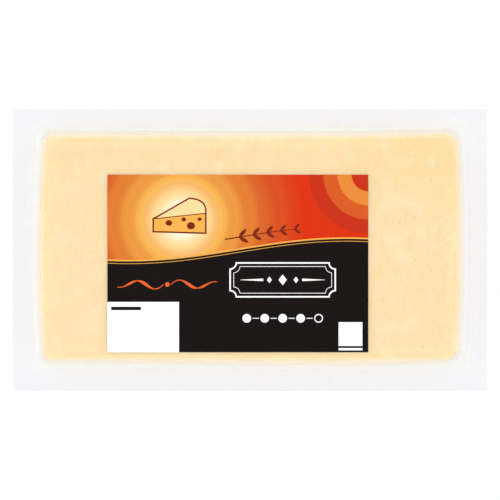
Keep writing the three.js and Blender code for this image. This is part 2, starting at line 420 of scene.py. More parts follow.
def make_film(rim):
    """The two webs of film, from the upper face down over the flange to the base. Each ring also
    has how cloudy it is, how much painted cheese-coloured light tints it, how loose it is, how much
    painted shade darkens it there and how much it is sealed."""
    rings, marks = [], {"haze": [], "cream": [], "loose": [], "painted_flare_shade": [], "seal": []}
    wall, flange = rim.wall, rim.flange
    span = np.hypot(*(flange - wall).T)
    still = np.zeros(len(wall))
    inner_cream, outer_cream, cream_reach, steep_painted_shade = (
        rim.by_side(values) for values in (INNER_CREAM, OUTER_CREAM, CREAM_REACH, STEEP_PAINTED_SHADE)
    )

    def add(points, haze, cream, loose=0.0, painted_flare_shade=0.0, seal=0.0):
        rings.append(points)
        for values, value in zip(marks.values(), (haze, cream, loose, painted_flare_shade, seal)):
            values.append(value)

    def web_ring(outline, side, rise, loose, joined):
        """One ring of the upper web, side 1, or the lower one, side -1. loose is the share of the
        web's own pleats that it has, and joined that of the pleats pressed into both webs."""
        distance = np.hypot(*(outline - wall).T)
        lift = distance / span * flange_lift(flange[:, 0], flange[:, 1])
        upper = PLEAT_HEIGHT * rim.pleats(distance, **UPPER_PLEATS)
        upper = upper + CORNER_PLEAT_HEIGHT * rim.corner_pleats()
        own = upper if side > 0 else PLEAT_HEIGHT * rim.pleats(distance, **LOWER_PLEATS)
        level = FLANGE_HEIGHT + lift + side * (FLANGE_THICKNESS / 2 + rise + loose * own)
        return ring(outline, level + joined * upper)

    def flare_size(side):
        return 1 if side > 0 else LOWER_FLARE

    def add_flare(angle, side):
        """A ring of the flare, from the block's side at angle 0 to the flange at a quarter turn."""
        reach = rim.flare_reach() * flare_size(side) * (1 - math.cos(angle))
        rise = rim.flare_rise() * flare_size(side) * (1 - math.sin(angle))
        points = web_ring(rim.outline(reach), side, rise, math.sin(angle) ** 2, 0)
        near = fading(reach, HAZE_REACH)
        # Partly a painted sheen where the web leaves the block.
        haze = (WEB_HAZE + FOLD_HAZE * near) * (1 if side > 0 else LOWER_HAZE)
        # painted cheese-coloured light, strongest where the web leaves the block
        cream = mix(outer_cream, inner_cream, fading(reach, cream_reach))
        # painted shade: a grey tint on the sloping upper web, strongest where it is steep
        painted_flare_shade = steep_painted_shade * (1 - near**2) * math.cos(angle) ** PAINTED_SHADE_POWER if side > 0 else 0
        add(points, haze, cream, 1 - near, painted_flare_shade, OPEN_SEAL * math.sin(angle) ** 4)
        return points[:, 2]

    def add_flange(share, side):
        """A ring of the flange, share of the way from the flare to the rim."""
        inner = rim.outline(rim.flare_reach() * flare_size(side))
        loose = max(1 - share / PLEAT_END, 0) ** 2
        joined = PRESSED_PLEAT * min(share / PRESS_START, 1) * (1 - share)
        sealed = min(share / SEAL_START, 1)
        points = web_ring(mix(inner, flange, share), side, 0, loose, joined)
        cream = mix(outer_cream, 0, sealed)
        add(points, mix(WEB_HAZE, SEAL_HAZE, sealed), cream, 1, 0, mix(OPEN_SEAL, 1, sealed))

    def add_wall(edge, flare, share, pleats, hazes):
        """A ring on the block's side, share of the way up or down from its edge to the flare."""
        gathers = PLEAT_HEIGHT * rim.pleats(still, **pleats)
        gathers = gathers + 0.5 * CORNER_PLEAT_HEIGHT * rim.corner_pleats()
        outline = rim.outline(WALL_PLEAT * math.sin(share * QUARTER_TURN) ** 2 * gathers)
        haze = mix(*hazes, min(share / WALL_FADE, 1))
        add(ring(outline, mix(edge, flare, share)), haze, mix(FACE_CREAM, WALL_CREAM, share))

    for angle in fillet(FILM_STEPS["shoulder"]):
        outline = rim.outline(TOP_RADIUS * (math.sin(angle) - 1))
        x, y = outline.T
        inside = TOP_RADIUS * (1 - math.sin(angle))
        drop = TOP_RADIUS * (1 - math.cos(angle))
        rise = math.cos(angle) * (upper_relief(x, y) + film_wrinkles(x, y))
        # Partly a painted sheen along the rounded edge, where the film turns edge on.
        haze = EDGE_HAZE * fading(inside, EDGE_FADE)
        add(ring(outline, BLOCK_HEIGHT - drop + rise), haze, FACE_CREAM)
    wall_top = BLOCK_HEIGHT - TOP_RADIUS
    flare_top = FLANGE_HEIGHT + FLANGE_THICKNESS / 2 + rim.flare_rise()
    for share in between(FILM_STEPS["wall"]):
        add_wall(wall_top, flare_top, share, UPPER_PLEATS, UPPER_WALL_HAZE)
    for angle in fillet(FILM_STEPS["flare"]):
        add_flare(angle, 1)
    for side, order in ((1, FLANGE_SHARES), (-1, FLANGE_SHARES[::-1])):
        for share in order:
            add_flange(share, side)
    for angle in reversed(fillet(FILM_STEPS["lower_flare"])):
        flare_foot = add_flare(angle, -1)
    for share in between(FILM_STEPS["lower_wall"]):
        add_wall(BASE_RADIUS, flare_foot, 1 - share, LOWER_PLEATS, LOWER_WALL_HAZE)
    for angle in fillet(FILM_STEPS["foot"]):
        outline = rim.outline(BASE_RADIUS * (math.cos(angle) - 1))
        level = BASE_RADIUS * (1 - math.sin(angle))
        add(ring(outline, level), FOOT_HAZE * math.cos(angle), FOOT_CREAM)

    top, base = face_grid(rim, rings[0]), face_grid(rim, rings[-1])
    x, y = top[..., 0], top[..., 1]
    top[..., 2] = BLOCK_HEIGHT + upper_relief(x, y) + film_wrinkles(x, y)
    return box_skin("film", rim, rings, top, base, marks)


def make_cheese(rim):
    """The block itself, just inside the film, with shallow dents and small pits."""
    rings = []
    top_radius, base_radius = TOP_RADIUS - EDGE_EASE, BASE_RADIUS + EDGE_EASE
    top_level, base_level = BLOCK_HEIGHT - FILM_GAP, FILM_GAP
    for angle in fillet(CHEESE_STEPS["shoulder"]):
        outline = rim.outline(top_radius * (math.sin(angle) - 1) - FILM_GAP)
        relief = upper_relief(outline[:, 0], outline[:, 1]) * math.cos(angle)
        rings.append(ring(outline, top_level - top_radius * (1 - math.cos(angle)) + relief))
    low, high = base_level + base_radius, top_level - top_radius
    for share in between(CHEESE_STEPS["wall"]):
        rings.append(ring(rim.outline(-FILM_GAP), mix(high, low, share)))
    for angle in fillet(CHEESE_STEPS["foot"]):
        outline = rim.outline(base_radius * (math.cos(angle) - 1) - FILM_GAP)
        rings.append(ring(outline, base_level + base_radius * (1 - math.sin(angle))))
    top, base = face_grid(rim, rings[0]), face_grid(rim, rings[-1])
    top[..., 2] = top_level + upper_relief(top[..., 0], top[..., 1])
    cheese = box_skin("cheese", rim, rings, top, base, {})
    carve_cheese(cheese.data)
    return cheese


def carve_cheese(mesh):
    """Pushes the block's skin inwards in soft dents and small pits, never outwards, and marks how
    far each point is inside the block's outline, in millimetres."""
    count = len(mesh.vertices)
    points, normals = np.zeros(count * 3), np.zeros(count * 3)
    mesh.vertices.foreach_get("co", points)
    mesh.vertices.foreach_get("normal", normals)
    points, normals = points.reshape(-1, 3), normals.reshape(-1, 3)
    x, y = points[:, 0] - BLOCK_SHIFT.x, points[:, 1] - BLOCK_SHIFT.y
    u, v = x / HALF_LENGTH, y / HALF_WIDTH
    end = HALF_LENGTH + np.where(x > 0, departure("right", v), departure("left", v))
    side = HALF_WIDTH + np.where(y > 0, departure("far", u), departure("near", u))
    write_mark(mesh, "inset", np.minimum(end - np.abs(x), side - np.abs(y)) / MM)
    depth = np.array([dent_depth(Vector(point)) for point in points])
    draw = np.random.default_rng(PIT_SEED)
    seats = points[draw.integers(0, count, PIT_COUNT)]
    for seat in seats:
        radius = draw.uniform(*PIT_RADII) * MM
        near = np.linalg.norm(points - seat, axis=1) / radius
        depth += draw.uniform(*PIT_DEPTHS) * MM * np.exp(-(near**2) * PIT_STEEPNESS)
    points -= normals * depth[:, None]
    mesh.vertices.foreach_set("co", points.ravel())
    mesh.update()


def dent_depth(point):
    """Depth of the soft dents at a point of the block."""
    broad = noise.noise(point / BROAD_DENTS["span"])
    fine = noise.noise(point / FINE_DENTS["span"] + FINE_DENTS["shift"])
    return CHEESE_DENT * (0.5 + BROAD_DENTS["share"] * broad + FINE_DENTS["share"] * fine)


class Shader:
    """The node tree of one material, built from its inputs to its surface."""

    def __init__(self, name):
        self.material = bpy.data.materials.new(name)
        self.material.use_nodes = True
        self.tree = self.material.node_tree
        self.tree.nodes.clear()
        self.out = self.tree.nodes.new("ShaderNodeOutputMaterial")

    def node(self, kind, *inputs, **settings):
        """Adds a shader node. inputs are (socket name or number, value or output socket) pairs."""
        made = self.tree.nodes.new(f"ShaderNode{kind}")
        for name, value in settings.items():
            setattr(made, name, value)
        for socket, value in inputs:
            if isinstance(value, bpy.types.NodeSocket):
                self.tree.links.new(value, made.inputs[socket])
            else:
                made.inputs[socket].default_value = value
        return made

    def place(self):
        """Where a point is, in metres in the part's frame."""
        return self.node("TexCoord").outputs["Object"]

    def axes(self):
        return self.node("SeparateXYZ", ("Vector", self.place())).outputs

    def noise(self, x, y, z, detail=2.0, roughness=0.5):
        """Noise whose grains are about that many millimetres long on each axis."""
        scale = (1 / (x * MM), 1 / (y * MM), 1 / (z * MM))
        vector = self.node("Mapping", ("Vector", self.place()), ("Scale", scale)).outputs[0]
        inputs = (("Vector", vector), ("Scale", 1.0), ("Detail", detail), ("Roughness", roughness))
        return self.node("TexNoise", *inputs).outputs["Fac"]

    def mark(self, name):
        return self.node("Attribute", attribute_name=name).outputs["Fac"]

    def maths(self, operation, first, second=0.0, third=0.0):
        inputs = ((0, first), (1, second), (2, third))
        return self.node("Math", *inputs, operation=operation).outputs[0]

    def past_half(self, value, middle, half):
        """How far value lies beyond half, either side of middle."""
        off = self.maths("ABSOLUTE", self.maths("SUBTRACT", value, middle))
        return self.maths("SUBTRACT", off, half)

    def spread(self, value, low, high, to_low=0.0, to_high=1.0):
        """value taken from low..high to to_low..to_high, smoothly and held at the ends."""
        ends = {"From Min": low, "From Max": high, "To Min": to_low, "To Max": to_high}
        made = self.node("MapRange", (0, value), *ends.items(), interpolation_type="SMOOTHSTEP")
        return made.outputs[0]

    def blend(self, share, first, second):
        """Two colours mixed by share."""
        made = self.node("Mix", (0, share), (6, first), (7, second), data_type="RGBA")
        return made.outputs[2]

    def ramp(self, value, stops):
        """A colour for each value, from (value, colour) stops, first to last."""
        made = self.node("ValToRGB", ("Fac", value))
        ends = made.color_ramp.elements
        for end, (at, colour) in zip((ends[0], ends[1]), (stops[0], stops[-1])):
            end.position, end.color = at, colour
        for at, colour in stops[1:-1]:
            made.color_ramp.elements.new(at).color = colour
        return made.outputs[0]

    def bump(self, height, distance, strength):
        inputs = (("Height", height), ("Distance", distance), ("Strength", strength))
        return self.node("Bump", *inputs).outputs[0]

    def finish(self, surface):
        self.tree.links.new(surface.outputs[0], self.out.inputs["Surface"])
        return self.material


def cheese_material():
    """Pale cheddar: yellower along its edges, riper towards its far right corner, with streaks
    across it, pale patches, and flecks that are stronger towards its right end."""
    shader = Shader("cheddar")
    spread, blend, maths = shader.spread, shader.blend, shader.maths
    face, yellow, deep = srgb(253, 226, 183), srgb(253, 229, 182), srgb(253, 223, 176.5)
    ripe, pale, streak = srgb(252, 223, 166), srgb(253, 232, 195), srgb(248.5, 220, 163)
    # shade is a painted shade and outline a painted highlight, both for the rounded upper edge
    fleck, shade, outline = srgb(240, 211, 154), srgb(250, 218, 168), srgb(255, 245, 215)
    # a painted shade round the label
    painted_label_shade = srgb(248, 214, 168)
    x, y, z = shader.axes()

    # Broad changes of tone, from the edges inwards and from end to end.
    wander = shader.noise(9, 9, 9, detail=1)
    inset = maths("ADD", shader.mark("inset"), spread(wander, 0.3, 0.7, -0.6, 1.2))
    to_right, to_far = spread(x, 50 * MM, 80 * MM, 0, 0.5), spread(y, 22 * MM, 38 * MM)
    colour = blend(maths("MAXIMUM", to_far, to_right), face, deep)
    colour = blend(spread(inset, 4.2, 7.5), yellow, colour)
    to_right, to_far = spread(x, 15 * MM, 75 * MM), spread(y, 3 * MM, 38 * MM)
    colour = blend(maths("MULTIPLY", to_right, to_far), colour, ripe)

    # Streaks, patches and flecks.
    streaks = shader.noise(1.8, 6.5, 6.5)
    colour = blend(spread(streaks, 0.42, 0.72, 0, 0.5), colour, streak)
    patches = shader.noise(6, 7, 6, detail=3)
    colour = blend(spread(patches, 0.48, 0.75, 0, 0.8), colour, pale)
    flecks = shader.noise(1.4, 1.7, 1.4, roughness=0.6)
    strength = spread(x, 0, 70 * MM, 0.35, 0.75)
    found = maths("MULTIPLY", spread(flecks, 0.6, 0.74), strength)
    colour = blend(found, colour, fleck)

    # The rounded upper edge: painted shade just inside the outline and a painted highlight on it,
    # which even out how its slopes take light; less of the painted shade on the sides.
    on_wall = spread(z, 22 * MM, 30 * MM, 0.8, 0)
    edge_shade_share = maths("MAXIMUM", spread(inset, 1.4, 3.4, 0.25, 1), on_wall)
    colour = blend(edge_shade_share, shade, colour)
    rounding = spread(shader.mark("inset"), 0.3, 2.4, 0.42, 0)
    edge_light_share = maths("MULTIPLY", rounding, spread(z, 24 * MM, 31 * MM))
    to_right = spread(x, 60 * MM, 80 * MM, 1, 0.65)
    colour = blend(maths("MULTIPLY", edge_light_share, to_right), colour, outline)

    # Painted shade round the label, as if it shadowed the cheese.
    off_u = shader.past_half(x, LABEL_CENTRE.x, HALF_U)
    off_v = shader.past_half(y, LABEL_CENTRE.y, HALF_V)
    beside = maths("MULTIPLY", maths("MAXIMUM", off_u, off_v), 1 / LABEL_SHADE)
    colour = blend(spread(beside, 0, 1, 0.36, 0), colour, painted_label_shade)

    grain = shader.noise(0.7, 0.7, 0.7, detail=4, roughness=0.6)
    surface = shader.node(
        "BsdfPrincipled",
        ("Base Color", colour),
        ("Roughness", spread(grain, 0.3, 0.7, 0.42, 0.6)),
        ("Normal", shader.bump(grain, 0.05 * MM, 0.6)),
        ("Specular IOR Level", 0.25),
        ("Subsurface Weight", 0.3),
        ("Subsurface Radius", (1.0, 0.6, 0.3)),
        ("Subsurface Scale", 1.4 * MM),
    )
    return shader.finish(surface)


def film_material():
    """Clear film: see-through, a little cloudy where it is stretched, with painted sheen along the
    block's edges, painted shade on the sloping web and painted cheese-coloured light, glossy by
    angle.
    """
    shader = Shader("clear_film")
    node, mark = shader.node, shader.mark
    spread, blend, maths = shader.spread, shader.blend, shader.maths
    cream, loose = mark("cream"), mark("loose")
    tint = srgb(254, 254, 254)
    for share, colour in (
        # The seal's grey is the film's own tint; its slight blue is painted, to offset the warm
        # light that the cheese throws on the floor beneath.
        (mark("seal"), srgb(252.3, 252.7, 255)),
        # a grey painted shade on the sloping web
        (mark("painted_flare_shade"), srgb(224, 232, 235)),
        # painted cheese-coloured light
        (cream, srgb(255, 244, 216)),
    ):
        tint = blend(share, tint, colour)
    clear = node("BsdfTransparent", ("Color", tint)).outputs[0]

    # Cloudiness, more uneven under the flange.
    drawn = shader.noise(7, 7, 7)
    cloud = maths("MULTIPLY", mark("haze"), spread(drawn, 0.3, 0.7, 0.85, 1.15))
    below = spread(shader.axes()[2], FLANGE_HEIGHT - 4 * MM, FLANGE_HEIGHT - 1 * MM, 1, 0)
    streaks = shader.noise(7, 7, 40, roughness=0.6)
    uneven = spread(streaks, 0.35, 0.65, -0.5, 0.5)
    cloud = maths("MULTIPLY", cloud, maths("MULTIPLY_ADD", uneven, below, 1))
    # The cloud is cream where painted cheese-coloured light falls on it.
    tone = blend(cream, srgb(252, 250, 246), srgb(255, 228, 180))
    cloudy = node("BsdfDiffuse", ("Color", tone)).outputs[0]
    body = node("MixShader", (0, cloud), (1, clear), (2, cloudy)).outputs[0]

    # Gloss, stronger towards edge on.
    ripple = shader.noise(5, 5, 5)
    normal = shader.bump(ripple, 0.12 * MM, 0.6)
    view = node("LayerWeight", ("Blend", 0.5), ("Normal", normal))
    power = spread(loose, 0, 1, CLINGING_RISE, LOOSE_RISE)
    edge_on = maths("POWER", view.outputs["Facing"], power)
    straight = spread(loose, 0, 1, CLINGING_GLOSS, LOOSE_GLOSS)
    shine = maths("MULTIPLY_ADD", edge_on, 1 - LOOSE_GLOSS, straight)
    shine = maths("MINIMUM", shine, GRAZING_GLOSS)
    roughness = spread(drawn, 0.3, 0.7, 0.05, 0.11)
    gloss = node("BsdfGlossy", ("Roughness", roughness), ("Normal", normal))
    surface = node("MixShader", (0, shine), (1, body), (2, gloss.outputs[0]))
    return shader.finish(surface)


# The label, in coordinates from its own middle: u along it and v up it.
SHEET_THICKNESS = 0.11 * MM
SHEET_LEVEL = 0.04 * MM  # underside over the film
INK_THICKNESS = 0.02 * MM
INK_ROUGHNESS = (0.36, 0.48)
PRINT_CELL = 2.5 * MM
PRINT_TRIM = 0.05 * MM  # how far the print stays inside the sheet
ELLIPSE_STEPS = 28

# The warm field and what is on it.
WAVE_MIDDLE, WAVE_HEIGHT, WAVE_SPAN = 5.6 * MM, 4.4 * MM, 27 * MM
WAVE_RULES = ((0.1 * MM, 0.6 * MM), (1.3 * MM, 0.22 * MM))  # how far under it and how wide
GLOW_U, GLOW_V = -22 * MM, 17 * MM
GLOW_REACH = 48 * MM
BAND_COUNT = 8
CORNER_DISCS = (23 * MM, 17.5 * MM, 12 * MM, 6.5 * MM)
WEDGE_TIP, WEDGE_HEEL, WEDGE_BACK = (-11.0, 0.4), (9.5, 2.6), (3.0, 8.4)
WEDGE_ROUND = (10.0, 8.2)  # pulls the rind's curve outwards
WEDGE_FEET = (5.0, 7.8)  # how tall the cut side is at the tip and at the heel
WEDGE_HOLES = (
    (-4.9, -1.2, 1.3, 1.1), (0.9, 0.2, 0.9, 0.8), (3.7, -2.3, 1.6, 1.4), (7.1, 0.3, 0.8, 0.7)
)
WEDGE_FOLD, WEDGE_LINE = 0.35 * MM, 0.6 * MM
SPRIG_START, SPRIG_END, SPRIG_LIFT = -5 * MM, 23 * MM, 4.6 * MM
STEM_WIDTHS = (0.5, 0.25)  # mm, at its start and its end
LEAF_PAIRS = 5
LEAF_LENGTH, LEAF_WIDTH = 4.4 * MM, 1.5 * MM
LEAF_SHRINK = 0.65  # size of the last pair beside the first
LEAF_TURN = 38  # degrees off the stem

# The dark field and what is on it.
PANEL_LENGTH, PANEL_WIDTH = 28.0 * MM, 19.7 * MM
PANEL_BAR_ENDS = (-49.4 * MM, -37.8 * MM)
PANEL_BAR_SIDES = (-3.2 * MM, -1.9 * MM)  # from the panel's upper side
SQUARE_SIDE = 9.3 * MM
SQUARE_LEFT, SQUARE_LOW = 39.3 * MM, -32.2 * MM
SQUARE_BAR_SIDES = (-1.7 * MM, -0.8 * MM)  # from the square's lower side
PLAQUE_U, PLAQUE_V = 17.5 * MM, -6.4 * MM
PLAQUE_HALF_U, PLAQUE_HALF_V, PLAQUE_NOTCH = 20.5 * MM, 6.6 * MM, 2.4 * MM
PLAQUE_LINES = ((0, 0.6 * MM), (1.4 * MM, 0.22 * MM))  # how far inside it and how wide
DIAMOND_HALVES = (1.6, 2.1)  # mm, of the largest one's length and height
DIAMONDS = ((-5.2, 0.6), (0, 1.0), (5.2, 0.6))  # place in mm and size
STROKE_REACH, STROKE_WIDTHS = (7.6, 16.5), (1.0, 0.12)  # mm
SCROLL_U, SCROLL_V, SCROLL_HALF = -27.5 * MM, -8.2 * MM, 19.5 * MM
SCROLL_GAP, SCROLL_DOT = 1.4 * MM, 0.9 * MM
SCROLL_SWAY, SCROLL_WAVES, SCROLL_CALM = 1.9, 2.6, 0.45  # mm, half waves and how much it calms
SCROLL_WIDTH, SCROLL_SWELL = 0.28, 1.0  # mm
MARKS_U, MARKS_V, MARK_STEP = 3.5 * MM, -21.4 * MM, 7.0 * MM
MARK_COUNT = 5
DOT_RADIUS, OPEN_DOT_RADIUS, OPEN_DOT_LINE = 1.7 * MM, 1.5 * MM, 0.4 * MM
LINK_ENDS, LINK_WIDTH = (2.3 * MM, 4.7 * MM), 0.3 * MM

COLOURS = {
    "red": srgb(214, 46, 2), "orange": srgb(208, 86, 30), "amber": srgb(222, 134, 52),
    "gold": srgb(236, 172, 76), "peach": srgb(248, 212, 150), "cream": srgb(252, 240, 214),
    "deep_red": srgb(192, 44, 12), "brown": srgb(120, 34, 12), "black": srgb(11, 1, 1),
    "scarlet": srgb(228, 96, 34), "white": srgb(248, 248, 248),
}
DISC_COLOURS = ("deep_red", "orange", "amber", "deep_red")
GLOW = {
    0: "cream", 0.12: "cream", 0.2: "peach", 0.34: "gold", 0.5: "amber", 0.72: "orange", 1: "red"
}


def plate(name, flat, level, thickness, material):
    """A thin closed plate of that flat shape, draped on the block. level is its underside over
    the film. flat is a bmesh in the label's coordinates, and is used up."""
    upper = bmesh.ops.extrude_face_region(flat, geom=flat.faces[:])["geom"]
    lifted = {part for part in upper if isinstance(part, bmesh.types.BMVert)}
    for vertex in flat.verts:
        x, y = vertex.co.x + LABEL_CENTRE.x, vertex.co.y + LABEL_CENTRE.y
        film = BLOCK_HEIGHT + upper_relief(x, y)
        vertex.co = (x, y, film + level + (thickness if vertex in lifted else 0))
    bmesh.ops.recalc_face_normals(flat, faces=flat.faces[:])
    mesh = bpy.data.meshes.new(name)
    flat.to_mesh(mesh)
    flat.free()
    mesh.materials.append(material)
    made = linked(name, mesh)
    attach(made, "root")
    return made


def add_field(flat, outline):
    """Adds a face of that outline, cut into cells small enough to follow the uneven block."""
    corners = [flat.verts.new((u, v, 0)) for u, v in outline]
    parts = [flat.faces.new(corners)]
    parts += corners + list(parts[0].edges)
    for axis in (0, 1):
        normal = Vector((1 - axis, axis, 0))
        values = [point[axis] for point in outline]
        first, last = math.ceil(min(values) / PRINT_CELL), math.floor(max(values) / PRINT_CELL)
        for step in range(first, last + 1):
            plane = {"plane_co": step * PRINT_CELL * normal, "plane_no": normal}
            parts = bmesh.ops.bisect_plane(flat, geom=parts, dist=1e-7, **plane)["geom"]


def line(points, widths):
    """A line to print: rows of u, v and the line's width there."""
    return np.column_stack([points, np.broadcast_to(widths, len(points))])


def finer(rows, closed):
    """The same line with rows added so that it can follow the uneven block."""
    ends = np.vstack([rows, rows[:1]]) if closed else rows
    fine = []
    for start, end in zip(ends, ends[1:]):
        count = max(1, math.ceil(np.linalg.norm((end - start)[:2]) / PRINT_CELL))
        fine += [mix(start, end, step / count) for step in range(count)]
    return np.array(fine if closed else fine + [ends[-1]])


def add_line(flat, rows, closed=False):
    """Adds a strip of faces along a line, mitred at its corners."""
    rows = finer(rows, closed)
    points, widths = rows[:, :2], rows[:, 2:]
    steps = np.roll(points, -1, axis=0) - points
    ahead = steps / np.linalg.norm(steps, axis=1)[:, None]
    behind = np.roll(ahead, 1, axis=0)
    if not closed:
        ahead[-1], behind[0] = ahead[-2], ahead[0]
    along = ahead + behind
    along /= np.linalg.norm(along, axis=1)[:, None]
    mitre = (along * ahead).sum(axis=1)[:, None]
    aside = np.column_stack([-along[:, 1], along[:, 0]]) * widths / 2 / mitre
    sides = zip(points + aside, points - aside)
    edges = [[flat.verts.new((*point, 0)) for point in pair] for pair in sides]
    for (left, right), (next_left, next_right) in zip(edges, edges[1:] + edges[:closed]):
        flat.faces.new((right, next_right, next_left, left))


def printed(name, material, layer, fields=(), lines=(), loops=()):
    """One printed colour: outlines of fields, open lines and closed ones. layer counts the inks
    under it."""
    flat = bmesh.new()
    for outline in fields:
        add_field(flat, outline)
    for rows in lines:
        add_line(flat, rows)
    for rows in loops:
        add_line(flat, rows, closed=True)
    level = SHEET_LEVEL + SHEET_THICKNESS + layer * INK_THICKNESS
    plate(name, flat, level, INK_THICKNESS, material)


def rectangle(left, right, low, high):
    return [(left, low), (right, low), (right, high), (left, high)]


def ellipse(u, v, half_u, half_v):
    turns = [2 * math.pi * step / ELLIPSE_STEPS for step in range(ELLIPSE_STEPS)]
    return [(u + half_u * math.cos(turn), v + half_v * math.sin(turn)) for turn in turns]


def curve(start, pull, end, steps=9):
    """Points of a curve from start to end, drawn towards pull."""
    start, pull, end = np.array(start), np.array(pull), np.array(end)
    return [tuple(mix(mix(start, pull, t), mix(pull, end, t), t)) for t in np.linspace(0, 1, steps)]


def wave(u):
    """The lower edge of the warm field, low on the left and high on the right."""
    return WAVE_MIDDLE + WAVE_HEIGHT * np.sin(u / WAVE_SPAN)


def corner_disc(radius):
    """A quarter disc in the upper right corner of the warm field."""
    u, v = HALF_U - PRINT_TRIM, HALF_V - PRINT_TRIM
    turns = np.linspace(2 * QUARTER_TURN, 3 * QUARTER_TURN, 24)
    return [(u, v)] + [(u + radius * math.cos(turn), v + radius * math.sin(turn)) for turn in turns]


def print_wedge():
    """A plain wedge of cheese: a dark outline, a pale top, a gold side and its holes."""
    rind = curve(WEDGE_HEEL, WEDGE_ROUND, WEDGE_BACK)
    feet = [(u, v - foot) for (u, v), foot in zip((WEDGE_TIP, WEDGE_HEEL), WEDGE_FEET)]
    top, side = [WEDGE_TIP] + rind, feet + [WEDGE_HEEL, WEDGE_TIP]

    def placed(outline):
        return [(GLOW_U + u * MM, GLOW_V + v * MM) for u, v in outline]

    printed("wedge_top", ink("peach"), 3, [placed(top)])
    printed("wedge_side", ink("gold"), 3, [placed(side)])
    holes = [placed(ellipse(*hole)) for hole in WEDGE_HOLES]
    fold = line(placed([WEDGE_TIP, WEDGE_HEEL]), WEDGE_FOLD)
    around = line(placed(feet + rind + [WEDGE_TIP]), WEDGE_LINE)
    printed("wedge_outline", ink("brown"), 4, holes, [fold], [around])


def print_sprig():
    """A sprig of leaves along the edge of the warm field."""
    stem_u = np.linspace(SPRIG_START, SPRIG_END, 40)
    stem = np.column_stack([stem_u, wave(stem_u) + SPRIG_LIFT])
    widths = np.linspace(*STEM_WIDTHS, len(stem)) * MM
    leaves = []
    for number in range(LEAF_PAIRS):
        u = mix(SPRIG_START, SPRIG_END, (number + 1) / (LEAF_PAIRS + 0.2))
        size = mix(1.0, LEAF_SHRINK, number / LEAF_PAIRS)
        slope = math.atan(WAVE_HEIGHT / WAVE_SPAN * math.cos(u / WAVE_SPAN))
        for side in (-1, 1):
            turn = slope + side * math.radians(LEAF_TURN)
            start = np.array([u, wave(u) + SPRIG_LIFT])
            along = size * LEAF_LENGTH * np.array([math.cos(turn), math.sin(turn)])
            aside = size * LEAF_WIDTH * np.array([-math.sin(turn), math.cos(turn)])
            upper = curve(start, start + along / 2 + aside, start + along, 7)
            lower = curve(start + along, start + along / 2 - aside, start, 7)
            leaves.append(lower[:-1] + upper[:-1])
    printed("sprig", ink("brown"), 3, leaves, [line(stem, widths)])


def plaque_line(inside, width):
    """A line that far inside the plaque's outline, its corners notched by quarter circles."""
    half_u, half_v = PLAQUE_HALF_U - inside, PLAQUE_HALF_V - inside
    notch = [
        (half_u - PLAQUE_NOTCH * math.cos(turn), half_v - PLAQUE_NOTCH * math.sin(turn))
        for turn in np.linspace(0, QUARTER_TURN, 9)
    ]
    points = []
    for sign_u, sign_v in ((1, 1), (-1, 1), (-1, -1), (1, -1)):
        corner = [(PLAQUE_U + sign_u * u, PLAQUE_V + sign_v * v) for u, v in notch]
        points += corner[::-1] if sign_u * sign_v > 0 else corner
    return line(points, width)


def print_plaque():
    """An empty plaque with three diamonds and two tapering strokes."""
    diamonds = []
    for place, size in DIAMONDS:
        half_u, half_v = (half * size * MM for half in DIAMOND_HALVES)
        around = ((0, -half_v), (half_u, 0), (0, half_v), (-half_u, 0))
        diamonds.append([(PLAQUE_U + place * MM + u, PLAQUE_V + v) for u, v in around])
    strokes = []
    for side in (-1, 1):
        reach = PLAQUE_U + side * np.linspace(*STROKE_REACH, 12) * MM
        points = np.column_stack([reach, np.full(len(reach), PLAQUE_V)])
        strokes.append(line(points, np.linspace(*STROKE_WIDTHS, len(reach)) * MM))
    frames = [plaque_line(inside, width) for inside, width in PLAQUE_LINES]
    printed("plaque", ink("white"), 1, diamonds, strokes, frames)


def print_scroll():
    """A flowing stroke that swells and thins, either side of a dot."""
    share = np.linspace(0, 1, 60)
    turn = share * SCROLL_WAVES * math.pi
    sway = SCROLL_SWAY * np.sin(turn) * (1 - SCROLL_CALM * share) * MM
    swell = SCROLL_SWELL * np.sin(share * math.pi) ** 2 * np.abs(np.cos(turn))
    strokes = []
    for side in (-1, 1):
        reach = SCROLL_U + side * mix(SCROLL_GAP, SCROLL_HALF, share)
        points = np.column_stack([reach, SCROLL_V + side * sway])
        strokes.append(line(points, (SCROLL_WIDTH + swell) * MM))
    dot = ellipse(SCROLL_U, SCROLL_V, SCROLL_DOT, SCROLL_DOT)
    printed("scrolls", ink("scarlet"), 1, [dot], strokes)


def print_marks():
    """A row of linked dots, the last one open."""
    *closed, last = [MARKS_U + number * MARK_STEP for number in range(MARK_COUNT)]
    dots = [ellipse(u, MARKS_V, DOT_RADIUS, DOT_RADIUS) for u in closed]
    open_dot = line(ellipse(last, MARKS_V, OPEN_DOT_RADIUS, OPEN_DOT_RADIUS), OPEN_DOT_LINE)
    links = [line([(u + end, MARKS_V) for end in LINK_ENDS], LINK_WIDTH) for u in closed]
    printed("strength_marks", ink("white"), 1, dots, links, [open_dot])


